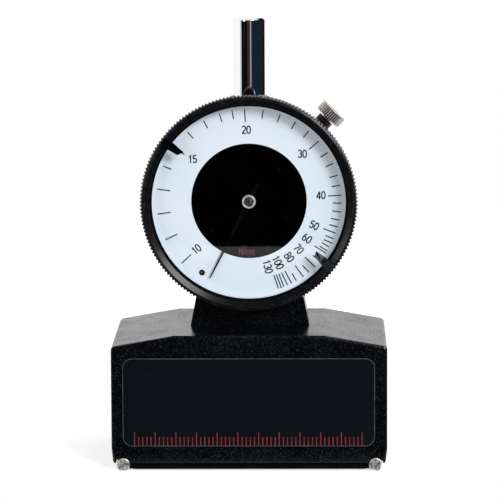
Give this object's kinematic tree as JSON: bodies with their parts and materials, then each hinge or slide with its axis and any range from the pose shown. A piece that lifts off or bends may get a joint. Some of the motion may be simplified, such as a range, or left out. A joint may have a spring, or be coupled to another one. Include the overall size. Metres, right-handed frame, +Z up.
{
  "type": "screen tension meter",
  "caption": "Hand-held tension meter for stretched screen mesh: a black housing on two round steel bars, a sprung sensing bar between them and a dial indicator on top.",
  "frame": {"origin": "on the plane that the two support bars stand on, centred under the stem's axis", "axes": "+Z up along the stem, -Y towards the front, where the dial and the label are, +X to the right seen from the front"},
  "size_m": [0.0726, 0.046, 0.1177],
  "materials": {
    "black_coating": "fine textured black coating",
    "black_label": "satin black, fine outline and red ruler",
    "black_anodised": "satin black anodised",
    "pointer_black": "matt black",
    "steel": "ground",
    "spring_steel": "drawn wire",
    "blued_steel": "blued",
    "chrome": "bright chrome plate",
    "nickel": "satin nickel plate",
    "brass": "machined",
    "aluminium": "milled",
    "dial_white": "satin white print",
    "crystal": "clear"
  },
  "bodies": {
    "meter": {"base_housing": "black_coating", "sole_plate": "black_coating", "sole_screw_1": "steel", "sole_screw_2": "steel", "sole_screw_3": "steel", "sole_screw_4": "steel", "support_bar_left": "steel", "support_bar_right": "steel", "label_plate": "black_label", "stem_clamp_screw": "steel", "guide_post_left": "steel", "guide_post_right": "steel", "sensing_spring_left": "spring_steel", "sensing_spring_right": "spring_steel", "lower_stem": "steel", "indicator_case": "black_coating", "back_cover": "black_coating", "back_cover_screw_1": "steel", "back_cover_screw_2": "steel", "back_cover_screw_3": "steel", "spindle_cap": "chrome", "movement_back_plate": "brass", "movement_middle_plate": "brass", "movement_front_plate": "brass", "movement_pillar_1": "brass", "movement_pillar_2": "brass", "movement_pillar_3": "brass", "movement_pillar_4": "brass", "movement_screw_1": "steel", "movement_screw_2": "steel", "pin_guide": "steel", "spindle_return_spring": "spring_steel", "hairspring": "blued_steel", "bezel_clamp_pin": "brass", "bezel_snap_ring": "spring_steel"},
    "sensor": {"sensing_bar": "steel", "sensor_carriage": "aluminium", "guide_bush_left": "brass", "guide_bush_right": "brass", "bar_screw_1": "steel", "bar_screw_2": "steel", "contact_point": "steel", "spindle": "steel", "guide_pin": "steel"},
    "transfer_gear": {"transfer_arbor": "steel", "transfer_wheel": "brass"},
    "takeup_gear": {"takeup_arbor": "steel", "takeup_wheel": "brass"},
    "pointer_shaft": {"centre_arbor": "steel", "pointer": "pointer_black", "pointer_hub": "nickel"},
    "bezel_ring": {"bezel": "black_anodised", "bezel_mount_ring": "black_anodised", "dial_plate": "dial_white", "dial_spacer_ring": "dial_white", "crystal": "crystal"},
    "low_marker": {"limit_marker_low": "pointer_black"},
    "high_marker": {"limit_marker_high": "pointer_black"},
    "lock_screw": {"bezel_lock_screw": "nickel"}
  },
  "joints": [
    {"name": "sensor_travel", "type": "slide", "parent": "meter", "child": "sensor", "axis": [0, 0, 1], "range_m": [-0.0025, 0.0005], "stiffness_N_per_m": 100, "springref_m": -0.01, "deforming": ["sensing_spring_left", "sensing_spring_right", "spindle_return_spring"]},
    {"name": "transfer_turn", "type": "hinge", "parent": "meter", "child": "transfer_gear", "pos_m": [-0.00334, 0, 0.06196], "axis": [0, 1, 0], "range_deg": [-20, 92]},
    {"name": "takeup_turn", "type": "hinge", "parent": "meter", "child": "takeup_gear", "pos_m": [0.00334, 0, 0.07824], "axis": [0, 1, 0], "range_deg": [-20, 92]},
    {"name": "pointer_turn", "type": "hinge", "parent": "meter", "child": "pointer_shaft", "pos_m": [0, 0, 0.0701], "axis": [0, 1, 0], "range_deg": [-905, 185]},
    {"name": "bezel_turn", "type": "hinge", "parent": "meter", "child": "bezel_ring", "pos_m": [0, 0, 0.0701], "axis": [0, 1, 0], "continuous": true},
    {"name": "limit_low_turn", "type": "hinge", "parent": "bezel_ring", "child": "low_marker", "pos_m": [0, 0, 0.0701], "axis": [0, 1, 0], "range_deg": [-80, 80]},
    {"name": "limit_high_turn", "type": "hinge", "parent": "bezel_ring", "child": "high_marker", "pos_m": [0, 0, 0.0701], "axis": [0, 1, 0], "range_deg": [-80, 80]},
    {"name": "lock_screw_turn", "type": "hinge", "parent": "meter", "child": "lock_screw", "pos_m": [0, -0.003, 0.0701], "axis": [0.6984, 0, 0.7157], "range_deg": [0, 360]}
  ],
  "couplings": [
    {"joint": "transfer_turn", "follows": "sensor_travel", "rad_per_m": -628.32},
    {"joint": "takeup_turn", "follows": "sensor_travel", "rad_per_m": -628.32},
    {"joint": "pointer_turn", "follows": "sensor_travel", "rad_per_m": 6283.2}
  ]
}
